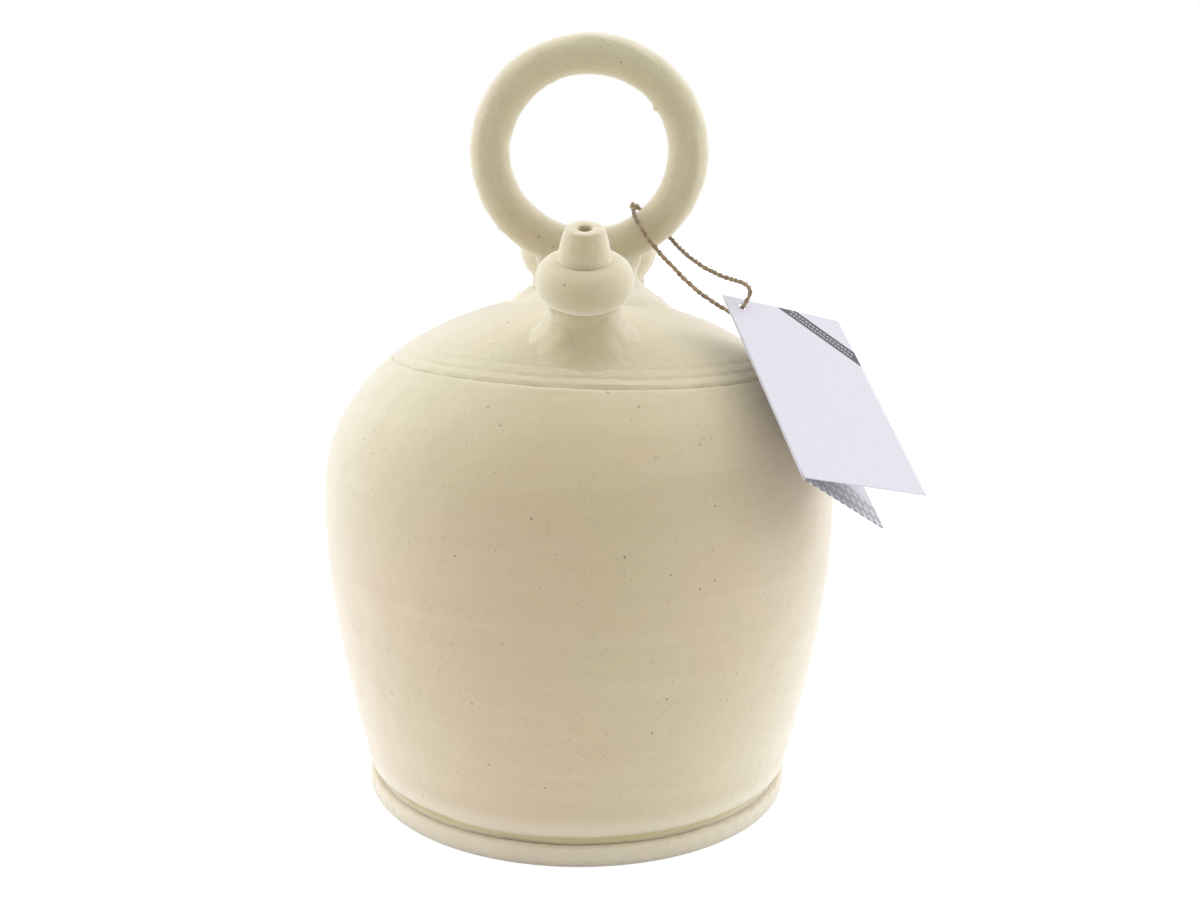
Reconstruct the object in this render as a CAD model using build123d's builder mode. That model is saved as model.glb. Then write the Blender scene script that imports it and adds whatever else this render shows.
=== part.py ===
from build123d import *
import os
from math import cos, pi, radians, sin, tan

# A bell-shaped water jug of unglazed clay: a thrown body on a foot, a ring handle on its crown,
# a drinking spout in front (-Y), a filling mouth behind (+Y), and a folded card on a loop of twine.
# Millimetres, +Z up, origin on the floor under the body's axis.

# Thrown body
belly_radius = 100.0
crown_height = 198.5
wall = 7.0
# Height of the seam as a share of the crown height
seam_share = 0.8685
seam_tilt = 1.56
# Height as a share of the crown height, radius as a share of the belly radius
wall_shares = ((0.30, 0.947), (0.565, 1.0), (0.709, 0.974), (0.80, 0.882), (0.90, 0.672), (0.976, 0.33))
# How straight the wall leaves the foot, as sideways run to rise
wall_lean_share = 0.24
inset_steps = 18

# Foot, and the groove between it and the wall
foot_radius = 84.6
foot_height = 8.3
heel_radius = 3.0
foot_edge_radius = 0.5
groove_inset = 3.6
groove_gap = 1.1
wall_nose = 2.8
wall_setback = 0.2

# Turned lines on the shoulder, the lowest over the seam
line_width = 1.1
line_depth = 0.55
line_pitch = 2.8
line_count = 3

# Ring handle: an oval ring of round section that stands across the jug
ring_half_width = 37.9
ring_half_height = 36.4
ring_tube_radius = 7.65
ring_offset = 3.1
ring_lift = 9.7

# Clay pad under the ring: each station's height, half width and half depth as shares of these three.
# Below the crown, the height is a share of the crown's fall out to the pad's toe.
pad_half_width = 19.3
pad_half_depth = 9.4
pad_rise = 16.9
pad_shares = (
    (-1.05, 1.78, 2.60),
    (-0.26, 1.50, 2.10),
    (0.10, 1.24, 1.55),
    (0.27, 1.06, 1.15),
    (0.46, 1.00, 1.00),
    (0.73, 1.05, 0.84),
    (1.00, 1.13, 0.68),
)

# Drinking spout: neck, bulb and nozzle on one leaning axis
spout_offset = 1.5
# How far out the spout and the mouth sit, as shares of the belly radius
spout_reach_share = 0.5
mouth_reach_share = 0.4
spout_lean = 21.0
neck_radius = 12.6
neck_length = 13.9
neck_bore_radius = 6.5
bulb_radius = 17.4
bulb_bottom_radius = 12.9
bulb_top_radius = 10.1
bulb_lower_height = 7.7
bulb_upper_height = 7.6
bulb_wall = 5.0
nozzle_base_radius = 9.7
nozzle_rim_radius = 6.8
nozzle_length = 11.7
nozzle_swell = 0.35
nozzle_edge_radius = 1.5
nozzle_hole_radius = 2.5
nozzle_hole_length = 7.0
nozzle_inlet_radius = 4.0

# Filling mouth: a flared cup on a short neck
mouth_offset = 3.6
mouth_lean = 12.0
mouth_neck_radius = 23.3
mouth_neck_top = 11.5
mouth_rim_radius = 28.9
mouth_rim_height = 24.6
mouth_swell = 1.5
mouth_edge_radius = 2.0
mouth_bore_radius = 17.5
mouth_bore_top = 13.0
mouth_throat_radius = 24.6
mouth_throat_swell = 1.2

# Clay smeared round the feet of the spout and the mouth
spout_lute_reach = 13.5
spout_lute_height = 12.4
mouth_lute_reach = 9.0
mouth_lute_height = 8.0
# Depth of each toe, as a share of the crown's fall from the seat out to the toe
spout_toe_share = 0.622
mouth_toe_share = 0.654

# Card: two leaves folded along one edge, hung by a hole near the fold
card_width = 55.0
card_height = 85.0
card_thickness = 0.4
card_facing = -46.55
card_rise = 47.7
card_roll = -18.6
card_opening = 20.5
card_hole_radius = 1.75
card_hole_in = 6.6
card_hole_down = 4.25
card_fold_gap = 0.3
card_hole_point = (59.1, -36.5, 196.9)

# Twine, as points chosen by hand along its route: from the knot over the front of the ring, down
# behind the card, through its holes, up over its top edge and back behind the ring to the knot
twine_radius = 0.85
twine_points = (
    (20.2, -1.4, 231.3),
    (20.1, -6.6, 229.6),
    (22.8, -10.2, 224.2),
    (28.5, -12.9, 216.4),
    (34.2, -16.8, 210.5),
    (41.4, -22.6, 203.2),
    (48.0, -28.6, 198.4),
    (53.4, -32.8, 195.4),
    (57.1, -34.6, 193.3),
    (60.6, -38.3, 199.2),
    (61.9, -38.3, 202.8),
    (59.9, -34.2, 205.4),
    (54.6, -25.8, 206.2),
    (47.0, -16.6, 209.3),
    (39.9, -6.2, 214.4),
    (35.8, 2.4, 219.0),
    (32.6, 8.6, 222.4),
    (26.4, 9.9, 227.6),
    (22.3, 5.9, 231.4),
    (21.0, 1.4, 232.0),
)
run_share = 0.45
knot_radius = 2.1
knot_point = (20.4, 0.1, 231.7)

# Reach past a surface, for cuts and for necks that run down into the wall
overrun = 12.0
full_turn = 360


def height_of(curve, radius):
    """Height at which the crown side of the outline has this radius."""
    low, high = 0.5, 1.0
    for _ in range(40):
        middle = (low + high) / 2
        if (curve @ middle).X > radius:
            low = middle
        else:
            high = middle
    return (curve @ low).Z


def inset(curve, distance):
    """Points at a set distance inside an outline that rises from the foot to the crown."""
    points = []
    for step in range(inset_steps + 1):
        along = curve % (step / inset_steps)
        point = curve @ (step / inset_steps) + Vector(-along.Z, 0, along.X) * distance
        points.append((point.X, point.Z))
    return points


def leaning_plane(offset, reach, lean, side):
    """Plane on the crown at this reach, square to an axis that leans outwards by the lean."""
    seat = Vector(offset, side * reach, height_of(outline, reach))
    return Plane(origin=seat, x_dir=(1, 0, 0), z_dir=(0, side * sin(radians(lean)), cos(radians(lean))))


def toe_depth(reach, spread, lean):
    """How far the crown falls, along an axis leaning by this much, from its seat to this far downhill."""
    run = spread * cos(radians(lean))
    fall = height_of(outline, reach) - height_of(outline, reach + run)
    return fall * cos(radians(lean)) - run * sin(radians(lean))


def profile_plane(plane):
    """Plane through a leaning axis, in which X is the radius and Y runs along the axis."""
    return Plane(origin=plane.origin, x_dir=plane.x_dir, z_dir=-plane.y_dir)


def turned(plane, rotation):
    """The plane turned about its own axes."""
    return Plane(plane.location * Location((0, 0, 0), rotation))


def save(builder, label):
    builder.part.label = label
    export_step(builder.part, f"parts/{label}.step")


os.makedirs("parts", exist_ok=True)

# Outline of the thrown body, from the rounded lower edge of the wall to the crown
groove_radius = foot_radius - groove_inset
wall_start_radius = foot_radius - wall_setback
wall_start_height = foot_height + groove_gap + wall_nose
outline_points = [(wall_start_radius, wall_start_height)]
outline_points += [(radius * belly_radius, height * crown_height) for height, radius in wall_shares]
outline_points += [(0, crown_height)]
with BuildLine(Plane.XZ) as outline_line:
    Spline(*outline_points, tangents=[(wall_lean_share, 1), (-1, 0)])
outline = outline_line.edges()[0]
seam_plane = Plane(origin=(0, 0, seam_share * crown_height), z_dir=(sin(radians(seam_tilt)), 0, cos(radians(seam_tilt))))

# The body as if it were solid
with BuildPart() as solid_form:
    with BuildSketch(Plane.XZ):
        with BuildLine():
            Spline(*outline_points, tangents=[(wall_lean_share, 1), (-1, 0)])
            nose_start = (groove_radius, foot_height + groove_gap)
            TangentArc(nose_start, outline_points[0], tangent=(1, 0.1))
            Polyline(nose_start, (groove_radius, foot_height), (0, foot_height), (0, crown_height))
        make_face()
    revolve(axis=Axis.Z)

# The cavity
with BuildPart() as cavity_form:
    with BuildSketch(Plane.XZ):
        with BuildLine():
            cavity_points = inset(outline, wall)
            Spline(*cavity_points)
            cavity_foot = (cavity_points[0][0], foot_height)
            Polyline(cavity_points[-1], (0, foot_height), cavity_foot, cavity_points[0])
        make_face()
    revolve(axis=Axis.Z)

# The turned lines, as thin tilted discs cut back to the depth of the lines
with BuildPart() as turned_lines:
    for line in range(line_count):
        with BuildSketch(seam_plane.offset(line * line_pitch - line_width / 2)):
            Circle(belly_radius)
        extrude(amount=line_width)
    with BuildSketch(Plane.XZ):
        with BuildLine():
            line_points = inset(outline, line_depth)
            Spline(*line_points)
            Polyline(line_points[-1], (0, foot_height), (line_points[0][0], foot_height), line_points[0])
        make_face()
    revolve(axis=Axis.Z, mode=Mode.SUBTRACT)

# Foot: the disc that the jug stands on
with BuildPart() as foot_disc:
    with BuildSketch(Plane.XZ):
        with BuildLine():
            Polyline((0, 0), (foot_radius, 0), (foot_radius, foot_height), (0, foot_height), close=True)
        make_face()
        rim_corners = vertices().group_by(Axis.X)[-1].sort_by(Axis.Y)
        fillet(rim_corners[0], radius=heel_radius)
        fillet(vertices().group_by(Axis.X)[-1].sort_by(Axis.Y)[-1], radius=foot_edge_radius)
    revolve(axis=Axis.Z)
save(foot_disc, "foot_disc")

# Wall: from the foot to the seam under the shoulder lines
with BuildPart() as body_wall:
    add(solid_form.part)
    add(cavity_form.part, mode=Mode.SUBTRACT)
    add(turned_lines.part, mode=Mode.SUBTRACT)
    split(bisect_by=seam_plane, keep=Keep.BOTTOM)
save(body_wall, "body_wall")

# Axes of the spout and the mouth
spout_reach, mouth_reach = spout_reach_share * belly_radius, mouth_reach_share * belly_radius
spout_plane = leaning_plane(spout_offset, spout_reach, spout_lean, -1)
mouth_plane = leaning_plane(mouth_offset, mouth_reach, mouth_lean, 1)

# Shoulder: the low cone that closes the body, open under the spout and the mouth
with BuildPart() as shoulder_cap:
    add(solid_form.part)
    add(cavity_form.part, mode=Mode.SUBTRACT)
    add(turned_lines.part, mode=Mode.SUBTRACT)
    split(bisect_by=seam_plane, keep=Keep.TOP)
    for plane, radius in ((spout_plane, neck_bore_radius), (mouth_plane, mouth_bore_radius)):
        with BuildSketch(plane.offset(-2 * overrun)):
            Circle(radius)
        extrude(amount=3 * overrun, mode=Mode.SUBTRACT)
save(shoulder_cap, "shoulder_cap")

# Ring handle
ring_centre = Vector(ring_offset, 0, crown_height + ring_lift + ring_tube_radius + ring_half_height)
with BuildPart() as ring_handle:
    with BuildLine(Plane(origin=ring_centre, x_dir=(1, 0, 0), z_dir=(0, -1, 0))) as ring_line:
        EllipticalCenterArc((0, 0), ring_half_width, ring_half_height, start_angle=0, arc_size=full_turn)
    with BuildSketch(Plane(origin=ring_line.edges()[0] @ 0, z_dir=ring_line.edges()[0] % 0)):
        Circle(ring_tube_radius)
    sweep()
save(ring_handle, "ring_handle")

# Filling mouth, and its outer form without the bore
mouth_rim_point = (mouth_rim_radius, mouth_rim_height)
mouth_neck_point = (mouth_neck_radius, mouth_neck_top)
mouth_throat_point = (mouth_throat_radius, mouth_rim_height)
mouth_bore_point = (mouth_bore_radius, mouth_bore_top)
with BuildPart() as mouth_form:
    with BuildSketch(profile_plane(mouth_plane)):
        with BuildLine():
            SagittaArc(mouth_neck_point, mouth_rim_point, -mouth_swell)
            Polyline(mouth_rim_point, (0, mouth_rim_height), (0, -overrun), (mouth_neck_radius, -overrun))
            Line((mouth_neck_radius, -overrun), mouth_neck_point)
        make_face()
    revolve(axis=Axis(mouth_plane.origin, mouth_plane.z_dir))
with BuildPart() as filler_mouth:
    with BuildSketch(profile_plane(mouth_plane)):
        with BuildLine():
            SagittaArc(mouth_neck_point, mouth_rim_point, -mouth_swell)
            Line(mouth_rim_point, mouth_throat_point)
            SagittaArc(mouth_throat_point, mouth_bore_point, -mouth_throat_swell)
            bore_foot = (mouth_bore_radius, -overrun)
            Polyline(mouth_bore_point, bore_foot, (mouth_neck_radius, -overrun), mouth_neck_point)
        make_face()
        fillet(vertices().group_by(Axis.Y)[-1], radius=mouth_edge_radius)
    revolve(axis=Axis(mouth_plane.origin, mouth_plane.z_dir))
    add(solid_form.part, mode=Mode.SUBTRACT)
save(filler_mouth, "filler_mouth")

# Pad of clay that carries the ring, widening down onto the crown
pad_toe_width = ring_offset + pad_shares[0][1] * pad_half_width
pad_toe_fall = crown_height - height_of(outline, pad_toe_width)
with BuildPart() as handle_pad:
    for height, width, depth in pad_shares:
        unit = pad_rise if height > 0 else pad_toe_fall
        with BuildSketch(Plane((ring_offset, 0, crown_height + height * unit))):
            Ellipse(width * pad_half_width, depth * pad_half_depth)
    loft()
    add(ring_handle.part, mode=Mode.SUBTRACT)
    add(solid_form.part, mode=Mode.SUBTRACT)
    add(mouth_form.part, mode=Mode.SUBTRACT)
save(handle_pad, "handle_pad")

# Clay smeared round the foot of the mouth
with BuildPart() as mouth_lute:
    with BuildSketch(profile_plane(mouth_plane)):
        with BuildLine():
            lute_top = (mouth_neck_radius, mouth_lute_height)
            toe_fall = toe_depth(mouth_reach, mouth_neck_radius + mouth_lute_reach, mouth_lean)
            lute_toe = (mouth_neck_radius + mouth_lute_reach, -mouth_toe_share * toe_fall)
            TangentArc(lute_top, lute_toe, tangent=(0, -1))
            Polyline(lute_toe, (mouth_neck_radius, -overrun), lute_top)
        make_face()
    revolve(axis=Axis(mouth_plane.origin, mouth_plane.z_dir))
    add(solid_form.part, mode=Mode.SUBTRACT)
    add(handle_pad.part, mode=Mode.SUBTRACT)
save(mouth_lute, "mouth_lute")

# Spout neck
with BuildPart() as spout_neck:
    with BuildSketch(spout_plane.offset(neck_length)):
        Circle(neck_radius)
        Circle(neck_bore_radius, mode=Mode.SUBTRACT)
    extrude(amount=-neck_length - overrun)
    add(solid_form.part, mode=Mode.SUBTRACT)
save(spout_neck, "spout_neck")

# Spout bulb, hollow, with an inner form that follows the outer one
bulb_widest = neck_length + bulb_lower_height
bulb_top = bulb_widest + bulb_upper_height
with BuildPart() as spout_bulb:
    with BuildSketch(profile_plane(spout_plane)):
        with BuildLine():
            bulb_side = (bulb_radius, bulb_widest)
            TangentArc(bulb_side, (bulb_top_radius, bulb_top), tangent=(0, 1))
            TangentArc(bulb_side, (bulb_bottom_radius, neck_length), tangent=(0, -1))
            Polyline((bulb_bottom_radius, neck_length), (neck_bore_radius, neck_length))
            inner_side = (bulb_radius - bulb_wall, bulb_widest)
            SagittaArc((neck_bore_radius, neck_length), inner_side, -bulb_wall / 5)
            SagittaArc(inner_side, (nozzle_inlet_radius, bulb_top - bulb_wall), -bulb_wall / 3)
            inlet_top = (nozzle_inlet_radius, bulb_top)
            Polyline((nozzle_inlet_radius, bulb_top - bulb_wall), inlet_top, (bulb_top_radius, bulb_top))
        make_face()
    revolve(axis=Axis(spout_plane.origin, spout_plane.z_dir))
save(spout_bulb, "spout_bulb")

# Spout nozzle, a short cone with the drinking hole
nozzle_top = bulb_top + nozzle_length
with BuildPart() as spout_nozzle:
    with BuildSketch(profile_plane(spout_plane)):
        with BuildLine():
            nozzle_foot = (nozzle_base_radius, bulb_top)
            nozzle_rim = (nozzle_rim_radius, nozzle_top)
            SagittaArc(nozzle_foot, nozzle_rim, nozzle_swell)
            hole_foot = (nozzle_hole_radius, nozzle_top - nozzle_hole_length)
            Polyline(nozzle_rim, (nozzle_hole_radius, nozzle_top), hole_foot)
            Polyline(hole_foot, (nozzle_inlet_radius, bulb_top), nozzle_foot)
        make_face()
        fillet(vertices().group_by(Axis.Y)[-1].sort_by(Axis.X)[-1], radius=nozzle_edge_radius)
    revolve(axis=Axis(spout_plane.origin, spout_plane.z_dir))
save(spout_nozzle, "spout_nozzle")

# Clay smeared round the foot of the spout
with BuildPart() as spout_lute:
    with BuildSketch(profile_plane(spout_plane)):
        with BuildLine():
            lute_top = (neck_radius, spout_lute_height)
            toe_fall = toe_depth(spout_reach, neck_radius + spout_lute_reach, spout_lean)
            lute_toe = (neck_radius + spout_lute_reach, -spout_toe_share * toe_fall)
            TangentArc(lute_top, lute_toe, tangent=(0, -1))
            Polyline(lute_toe, (neck_radius, -overrun), lute_top)
        make_face()
    revolve(axis=Axis(spout_plane.origin, spout_plane.z_dir))
    add(solid_form.part, mode=Mode.SUBTRACT)
    add(handle_pad.part, mode=Mode.SUBTRACT)
save(spout_lute, "spout_lute")

# Card: the hole's centre is the origin, X runs away from the fold and Z out of the front
facing, rise = radians(card_facing), radians(card_rise)
card_normal = Vector(cos(rise) * cos(facing), cos(rise) * sin(facing), sin(rise))
card_plane = Plane(origin=card_hole_point, x_dir=(-sin(facing), cos(facing), 0), z_dir=card_normal)
card_plane = turned(card_plane, (0, 0, card_roll))
with BuildPart() as card_front:
    with BuildSketch(card_plane):
        leaf_middle = (card_width / 2 - card_hole_in, card_hole_down - card_height / 2)
        with Locations(leaf_middle):
            Rectangle(card_width, card_height)
        Circle(card_hole_radius, mode=Mode.SUBTRACT)
    extrude(amount=-card_thickness)
save(card_front, "card_front")

# The back leaf turns about the fold, just behind the front leaf
fold_point = card_plane.from_local_coords((-card_hole_in, 0, -card_thickness - card_fold_gap / 2))
fold_plane = Plane(origin=fold_point, x_dir=card_plane.x_dir, z_dir=card_plane.z_dir)
back_plane = turned(fold_plane, (0, card_opening, 0))
with BuildPart() as card_back:
    with BuildSketch(back_plane.offset(-card_fold_gap / 2)):
        with Locations((card_width / 2, card_hole_down - card_height / 2)):
            Rectangle(card_width, card_height)
        with Locations((card_hole_in, 0)):
            Circle(card_hole_radius, mode=Mode.SUBTRACT)
    extrude(amount=-card_thickness)
save(card_back, "card_back")

# Twine: straight runs joined by the largest arcs that they leave room for
route = [Vector(*point) for point in twine_points]
radii = []
for before, corner, after in zip(route, route[1:], route[2:]):
    turn = radians((corner - before).get_angle(after - corner))
    shorter = min((corner - before).length, (after - corner).length)
    radii.append(run_share * shorter / tan(turn / 2))
with BuildPart() as twine_loop:
    with BuildLine() as twine_line:
        FilletPolyline(*route, radius=radii)
    with BuildSketch(Plane(origin=route[0], z_dir=route[1] - route[0])):
        Circle(twine_radius)
    sweep()
save(twine_loop, "twine_loop")

# Knot on the inner side of the ring
with BuildPart() as twine_knot:
    with Locations(knot_point):
        Sphere(knot_radius)
save(twine_knot, "twine_knot")

twine_length = sum(edge.length for edge in twine_line.edges())
print("twine radii", [round(radius, 1) for radius in radii])
print("twine runs", [round((b - a).length, 1) for a, b in zip(route, route[1:])])
print("twine volume over section times length", twine_loop.part.volume / (pi * twine_radius**2 * twine_length))
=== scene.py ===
from math import cos, pi, radians, sin, sqrt, tan

import bmesh
import bpy
import numpy as np
from bpy.props import FloatProperty, FloatVectorProperty, IntProperty, PointerProperty
from mathutils import Euler, Matrix, Vector


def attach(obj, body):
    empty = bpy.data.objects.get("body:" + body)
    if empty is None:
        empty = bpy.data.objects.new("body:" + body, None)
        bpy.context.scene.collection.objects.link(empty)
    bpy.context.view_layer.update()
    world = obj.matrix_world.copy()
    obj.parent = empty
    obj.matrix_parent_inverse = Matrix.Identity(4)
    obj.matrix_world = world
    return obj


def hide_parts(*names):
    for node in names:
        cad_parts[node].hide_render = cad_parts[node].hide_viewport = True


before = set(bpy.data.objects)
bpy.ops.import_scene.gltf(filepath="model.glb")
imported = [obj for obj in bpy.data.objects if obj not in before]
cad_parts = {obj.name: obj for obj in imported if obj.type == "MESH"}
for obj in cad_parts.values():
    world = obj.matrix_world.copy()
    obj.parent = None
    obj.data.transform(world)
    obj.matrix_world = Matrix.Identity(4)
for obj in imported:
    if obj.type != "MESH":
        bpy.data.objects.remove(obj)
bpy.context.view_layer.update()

bl_info = {
    "name": "Clay Water Jug",
    "version": (1, 0, 0),
    "blender": (4, 5, 0),
    "location": "View3D > Sidebar > Water Jug",
    "description": "Dresses the packed frame of a ring-handled clay water jug",
    "category": "Add Mesh",
}

MM = 0.001

# The thrown body, in mm: the same outline as the frame's, foot to crown
BELLY_RADIUS, CROWN_HEIGHT, WALL = 100.0, 198.5, 7.0
WALL_START = (84.4, 12.2)
WALL_SHARES = ((0.30, 0.947), (0.565, 1.0), (0.709, 0.974), (0.80, 0.882), (0.90, 0.672), (0.976, 0.33))
WALL_LEAN_SHARE, WALL_NOSE = 0.24, [(83.4, 12.25), (84.95, 13.5)]
SEAM_HEIGHT, SEAM_TILT = 172.4, radians(1.56)
FOOT_RADIUS, FOOT_HEIGHT, HEEL_RADIUS, FOOT_EDGE = 84.6, 8.3, 3.0, 1.7
GROOVE_RADIUS, GROOVE_GAP = 82.2, 2.3
LINE_PITCH = 2.8

# Ring handle and the pad under it
RING_CENTRE = np.array((3.1, 0.0, 252.25))
RING_HALF_WIDTH, RING_HALF_HEIGHT, RING_TUBE = 37.9, 36.4, 7.65
PAD_HALF_WIDTH, PAD_HALF_DEPTH, PAD_RISE = 19.3, 9.4, 16.9
PAD_SHARES = (
    (-1.05, 1.78, 2.60), (-0.26, 1.50, 2.10), (0.10, 1.24, 1.55), (0.27, 1.06, 1.15),
    (0.46, 1.00, 1.00), (0.73, 1.05, 0.84), (1.00, 1.13, 0.68),
)

# Spout and mouth: seat on the crown, and lean of the axis in degrees (outwards, -Y and +Y)
SPOUT_SEAT, SPOUT_LEAN = (1.5, -50.0, 187.623), -21.0
MOUTH_SEAT, MOUTH_LEAN = (3.6, 40.0, 191.455), 12.0
NECK_RADIUS, NECK_LENGTH, NECK_BORE = 12.6, 13.9, 6.5
BULB_RADIUS, BULB_FOOT, BULB_HEAD, BULB_WIDEST, BULB_TOP = 17.4, 12.9, 10.1, 21.6, 29.2
NOZZLE_FOOT, NOZZLE_RIM, NOZZLE_TOP, NOZZLE_EDGE = 9.7, 6.8, 40.9, 1.5
NOZZLE_HOLE, NOZZLE_HOLE_FOOT, NOZZLE_INLET = 2.5, 33.9, 4.0
MOUTH_NECK, MOUTH_NECK_TOP, MOUTH_RIM, MOUTH_HEIGHT = 23.3, 11.5, 28.9, 24.6
MOUTH_THROAT, MOUTH_BORE, MOUTH_BORE_TOP, MOUTH_EDGE = 24.6, 17.5, 13.0, 2.0
SPOUT_LUTE, MOUTH_LUTE = (13.5, 12.4), (9.0, 8.0)

# Card: the hole's centre, the way along its width, down its height and out of its front
CARD_HOLE = Vector((59.1, -36.5, 196.9)) * MM
CARD_ACROSS = Vector((0.850349, 0.480466, -0.214712))
CARD_DOWN = Vector((0.250536, -0.728263, -0.637860))
CARD_FRONT = Vector((0.462845, -0.488590, 0.739631))
CARD_FOLD = Vector((53.233, -39.403, 197.910))
CARD_OPENING = radians(20.5)
CARD_TOP, CARD_FOOT = 4.25, 80.75
FOLD_OUTER, FOLD_INNER = 0.56, 0.14  # radii of the paper bend, in mm

# Twine route: the frame's points in metres
TWINE_POINTS = (
    (0.0202, -0.0014, 0.2313), (0.0201, -0.0066, 0.2296), (0.0228, -0.0102, 0.2242),
    (0.0285, -0.0129, 0.2164), (0.0342, -0.0168, 0.2105), (0.0414, -0.0226, 0.2032),
    (0.0480, -0.0286, 0.1984), (0.0534, -0.0328, 0.1954), (0.0571, -0.0346, 0.1933),
    (0.0606, -0.0383, 0.1992), (0.0619, -0.0383, 0.2028), (0.0599, -0.0342, 0.2054),
    (0.0546, -0.0258, 0.2062), (0.0470, -0.0166, 0.2093), (0.0399, -0.0062, 0.2144),
    (0.0358, 0.0024, 0.2190), (0.0326, 0.0086, 0.2224), (0.0264, 0.0099, 0.2276),
    (0.0223, 0.0059, 0.2314), (0.0210, 0.0014, 0.2320),
)
KNOT_POINT = np.array((20.4, 0.1, 231.7))
# The knot's two short tails: way, bend and length in mm
KNOT_TAILS = (((-0.62, -0.20, 0.68), (0.6, -0.2, -0.5), 1.5), ((0.35, -0.72, 0.55), (0.4, 0.2, -0.6), 2.0))
# Strands in the twine, as shares of its radius: how far they lie from its middle, and their own radius
STRAND_OFFSET, STRAND_RADIUS = 0.43, 0.62
# Radius of a loose fibre, and how near the card's hole none start, in mm
HAIR_RADIUS, HAIR_FREE_REACH = 0.045, 9.0

# Hills and hollows that hands leave in thrown clay: share of their height, size in mm, and how little
# they change on the way round (1: as much as upwards)
HAND_MARKS = ((1, 70, 1), (0.38, 21, 1), (0.14, 7, 1), (0.17, 4.6, 0.05), (0.10, 2.9, 0.07))
# Half width and depth of the turned lines over the seam, in mm, from the lowest up
LINE_CUTS = ((0.62, 0.36), (0.42, 0.20), (0.42, 0.13))
# Ridges that a tool left on the ring's front: from one ring angle to another, their section angles, and height
RING_RIDGES = ((56, 94, 68, 46, 0.30), (-38, 10, 57, 75, 0.32), (150, 196, 62, 70, 0.16))
# Burrs on the ring: ring angle, section angle, height, and half width along and across
RING_BURRS = ((34.6, 176, 1.25, 1.0, 1.2), (221, 12, 0.5, 0.8, 0.9), (-31, 8, 0.45, 0.8, 0.8),
              (118, 170, 0.3, 1.2, 1.0))

# Camera, in metres and degrees
CAMERA_PLACE, CAMERA_SHIFT = (0.0, -0.5309, 0.2398), (0.0174, 0.00075)
CAMERA_TILT, CAMERA_ROLL = 78.92, 0.34

# Noises in the clay: scale per metre, detail and roughness
CLAY_NOISES = {
    "drift": (10.0, 3.0, 0.45), "patches": (26.0, 4.0, 0.5), "wiped": (34.0, 2.0, 0.55),
    "grain": (900.0, 3.0, 0.7), "grit": (300.0, 3.0, 0.6),
}
# Round spots in the clay: cells per metre, inner and outer radius in cells, and share of the cells
PIT, DOT, SPECK = (195.0, 0.05, 0.085, 0.17), (400.0, 0.08, 0.20, 0.22), (330.0, 0.08, 0.24, 0.20)
# Relief of the clay in metres, and its shares: streaks, fine streaks, grit, grain, pits, dots and specks
CLAY_RELIEF, RELIEF_SHARES = 0.00034, (0.16, 0.26, 0.22, 0.12, -1.3, -0.50, 0.30)
# Heights in metres at which the groove's painted shade and the painted highlight on the bead over it start, are
# full, fade and end
GROOVE_SHADE_ZONE = (0.0080, 0.0098, 0.0106, 0.0128)
BEAD_HIGHLIGHT_ZONE = (0.0124, 0.0138, 0.0150, 0.0210)


# ---- Settings ----

def tint(name, description, value):
    """A colour in the panel."""
    return FloatVectorProperty(name=name, description=description, subtype="COLOR", size=3, min=0, max=1,
                               default=value)


def measure(name, description, low, high, value):
    """A length in the panel, in metres."""
    return FloatProperty(name=name, description=description, unit="LENGTH", min=low, max=high, default=value)


def amount(name, description, low, high, value, **more):
    """A number in the panel."""
    return FloatProperty(name=name, description=description, min=low, max=high, default=value, **more)


class JugClay(bpy.types.PropertyGroup):
    """Unglazed clay of the jug."""

    colour: tint("Clay", "Colour of most of the clay", (0.562, 0.459, 0.268))
    olive: tint("Olive drift", "Colour that the clay drifts to in patches", (0.553, 0.487, 0.286))
    blush: tint("Pink drift", "Warmer colour that the clay drifts to", (0.58, 0.443, 0.271))
    # Pale dry bloom of the clay, also the colour of painted light: the bead's painted highlight and the paler
    # foot, ring and pad
    bloom_and_light: tint("Bloom", "Pale dry bloom over high spots", (0.80, 0.74, 0.59))
    # Painted shade: the darker olive deep in the groove over the foot
    groove_shade: tint("Groove", "Colour deep in the groove over the foot", (0.57, 0.49, 0.235))
    # Painted shade: the dark colour inside the small pits and dots
    pit_shade: tint("Pits", "Colour inside the small pits", (0.16, 0.12, 0.07))
    unevenness: measure("Unevenness", "Height of the hand-made hills and hollows", 0, 0.001, 0.00024)
    sides: IntProperty(name="Sides", description="Facets round the thrown body", min=48, max=1024, default=320)


class JugTwine(bpy.types.PropertyGroup):
    """Two-ply natural twine."""

    diameter: measure("Diameter", "Thickness of the laid twine", 0.0005, 0.005, 0.0017)
    lay: measure("Lay", "Length of one full twist", 0.001, 0.05, 0.0058)
    fibres: IntProperty(name="Loose fibres", description="Fibres that stand off the twine", min=0, max=5000,
                        default=420)
    colour: tint("Fibre", "Colour of most of the fibre", (0.36, 0.27, 0.17))
    shade: tint("Dark fibre", "Colour of the darker fibre", (0.15, 0.11, 0.07))


class JugCard(bpy.types.PropertyGroup):
    """Folded card on the twine."""

    paper: tint("Paper", "Colour of the card", (0.63, 0.615, 0.68))
    ink: tint("Ink", "Colour of the printed band", (0.065, 0.065, 0.085))
    band_near: measure("Band start", "How far from the hole the band starts", 0, 0.05, 0.0145)
    band_far: measure("Band end", "How far from the hole the band ends", 0, 0.05, 0.0203)
    band_angle: amount("Band slope", "Slope of the band over the card", 0, pi / 2, radians(38.6),
                       subtype="ANGLE")
    lattice: measure("Lattice pitch", "Pitch of the lattice inside the card", 0.0005, 0.02, 0.0043)


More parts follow.
